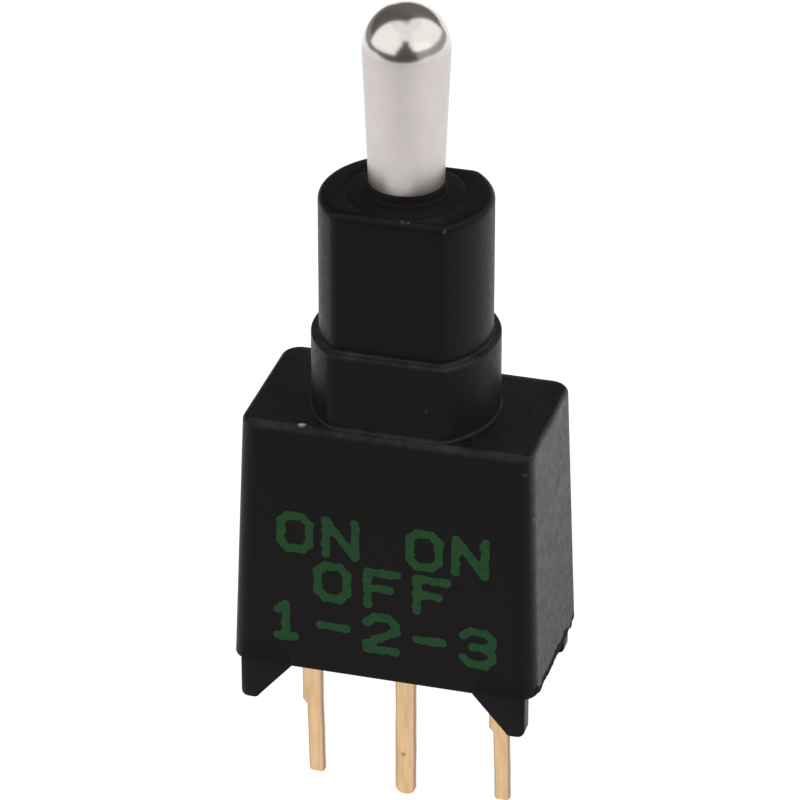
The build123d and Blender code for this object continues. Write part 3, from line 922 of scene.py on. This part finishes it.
# ---------------------------------------------------------------- studio
FLOOR_BACK, FLOOR_FRONT, FLOOR_SIDE = 0.25, -0.055, 0.115    # metres
FLOOR_GLOW = 0.9
FLOOR_PAPER = (0.3, 0.3, 0.3, 1)
WORLD_LIGHT = 0.1                      # on the part; what is seen directly is white
SHROUD_LIGHT = 0.085
HAZE_LIGHT = 0.2                       # panels dimmer than this are warm, like the shroud
WARM, WHITE = (1, 0.92, 0.84), (1, 0.995, 0.985)
PANELS = (                             # name, azimuths, elevations, distance, light
    ("left_softbox", (-90, -11), (-1, 60), 0.4, 1.08),
    ("left_lip_low", (-11, -4), (12, 22), 0.4, 1.05),
    ("left_lip_high", (-11, 3), (22, 36), 0.4, 1.05),
    ("left_low", (-155, -93), (-12, 8), 0.45, 0.28),
    ("right_softbox", (36, 140), (9, 60), 0.4, 1.08),
    ("right_core", (38, 85), (8, 28), 0.38, 1.25),
    ("right_lip_low", (30, 38), (12, 22), 0.39, 1.05),
    ("right_lip_high", (23, 38), (22, 36), 0.39, 1.05),
    ("right_low", (42, 150), (-12, 9), 0.45, 0.35),
    ("bridge_softbox", (-11, 36), (36, 60), 0.4, 0.95),
    ("top_softbox", (-90, 140), (60, 80), 0.4, 0.95),
    ("crown_softbox", (-90, 140), (80, 90), 0.4, 0.6),
    ("back_wall", (150, 210), (-6, 9), 0.5, 1.0),
    ("back_haze", (140, 205), (9, 70), 0.5, 0.155),
    ("side_haze_near", (205, 225), (9, 70), 0.5, 0.135),
    ("side_haze_far", (225, 268), (9, 70), 0.5, 0.112),
)


def direction(azimuth, elevation):
    """Unit vector from degrees; azimuth 0 is the front (-Y) and grows towards +X."""
    a, e = radians(azimuth), radians(elevation)
    return Vector((sin(a) * cos(e), -cos(a) * cos(e), sin(e)))


def stage_material(name):
    """A material with nothing but its output node."""
    material = bpy.data.materials.new(name)
    material.use_nodes = True
    tree = material.node_tree
    tree.nodes.clear()
    return material, tree, tree.nodes.new("ShaderNodeOutputMaterial")


def panel(name, azimuths, elevations, distance, colour, strength, steps=8):
    """A curved studio panel round the part, out of the camera's sight; returns its material."""
    centre = Vector((0, 0, BUSHING_TOP * MM))
    points = [tuple(centre + distance * direction(a, e))
              for e in spread(*elevations, steps) for a in spread(*azimuths, steps)]
    row = steps + 1
    faces = [(i * row + j, i * row + j + 1, (i + 1) * row + j + 1, (i + 1) * row + j)
             for i in range(steps) for j in range(steps)]
    obj = mesh_object(name, points, faces)
    material, tree, output = stage_material(name)
    emission = tree.nodes.new("ShaderNodeEmission")
    emission.inputs["Color"].default_value = (*colour, 1)
    emission.inputs["Strength"].default_value = strength
    tree.links.new(emission.outputs["Emission"], output.inputs["Surface"])
    obj.data.materials.append(material)
    obj.visible_camera = False
    return material


def seen_ray(tree):
    """1 for rays from the camera and for those that metal and glass send on."""
    path = tree.nodes.new("ShaderNodeLightPath")
    seen = computed(tree, "MAXIMUM", path.outputs["Is Camera Ray"], path.outputs["Is Glossy Ray"])
    return computed(tree, "MAXIMUM", seen, path.outputs["Is Transmission Ray"])


def build_floor():
    z = common_low.z * MM
    floor = mesh_object("floor", [(-FLOOR_SIDE, FLOOR_FRONT, z), (FLOOR_SIDE, FLOOR_FRONT, z),
                                  (FLOOR_SIDE, FLOOR_BACK, z), (-FLOOR_SIDE, FLOOR_BACK, z)],
                        [(0, 1, 2, 3)])
    material, tree, output = stage_material("floor")
    glow = tree.nodes.new("ShaderNodeEmission")
    tree.links.new(mapped(tree, seen_ray(tree), 0, 1, 0, FLOOR_GLOW), glow.inputs["Strength"])
    paper = tree.nodes.new("ShaderNodeBsdfDiffuse")
    paper.inputs["Color"].default_value = FLOOR_PAPER
    both = tree.nodes.new("ShaderNodeAddShader")
    tree.links.new(glow.outputs[0], both.inputs[0])
    tree.links.new(paper.outputs[0], both.inputs[1])
    tree.links.new(both.outputs[0], output.inputs["Surface"])
    floor.data.materials.append(material)


def build_world():
    world = bpy.data.worlds.new("studio")
    bpy.context.scene.world = world
    world.use_nodes = True
    tree = world.node_tree
    background = tree.nodes["Background"]
    background.inputs["Color"].default_value = (1, 1, 1, 1)
    tree.links.new(mapped(tree, seen_ray(tree), 0, 1, WORLD_LIGHT, 1),
                   background.inputs["Strength"])


def build_studio():
    build_floor()
    build_world()
    # The shroud closes the room round the rest; it is too dim to aim shadow rays at.
    shroud = panel("shroud", (-180, 180), (-60, 90), 0.6, WARM, SHROUD_LIGHT, steps=24)
    shroud.cycles.emission_sampling = "NONE"
    for name, azimuths, elevations, distance, light in PANELS:
        panel(name, azimuths, elevations, distance, WARM if light < HAZE_LIGHT else WHITE, light)


CAMERA_AZIMUTH, CAMERA_ELEVATION = 15.85, 29.13
CAMERA_DISTANCE = 120.0
CAMERA_ASIDE, CAMERA_ABOVE = -0.16, 0.263
CAMERA_AIM = 7.75                      # height on the part's axis
CAMERA_LENS, CAMERA_SENSOR = 213.1, 36


def build_camera():
    back = direction(CAMERA_AZIMUTH, CAMERA_ELEVATION)
    azimuth = radians(CAMERA_AZIMUTH)
    right = Vector((cos(azimuth), sin(azimuth), 0))
    up = back.cross(right)
    aim = Vector((0, 0, CAMERA_AIM))
    eye = aim + CAMERA_DISTANCE * back + CAMERA_ASIDE * right + CAMERA_ABOVE * up
    data = bpy.data.cameras.new("camera")
    data.lens = CAMERA_LENS
    data.sensor_width = CAMERA_SENSOR
    data.clip_start = 0.001
    data.clip_end = 10
    camera = bpy.data.objects.new("camera", data)
    bpy.context.scene.collection.objects.link(camera)
    turn = Matrix((right, up, back)).transposed().to_4x4()
    camera.matrix_world = Matrix.Translation(eye * MM) @ turn
    bpy.context.scene.camera = camera


# ---------------------------------------------------------------- the scene
bpy.context.scene.view_settings.view_transform = "Standard"

surfaces = dress_inner_nodes()
build_housing(black_plastic())
build_lever(nickel())
build_seal_lip(plain_surface(*LIP_RUBBER))
build_spring(surfaces["spring_steel"])
build_pins(surfaces["terminal"])
build_print(plain_surface(*GREEN_INK))
build_studio()
build_camera()
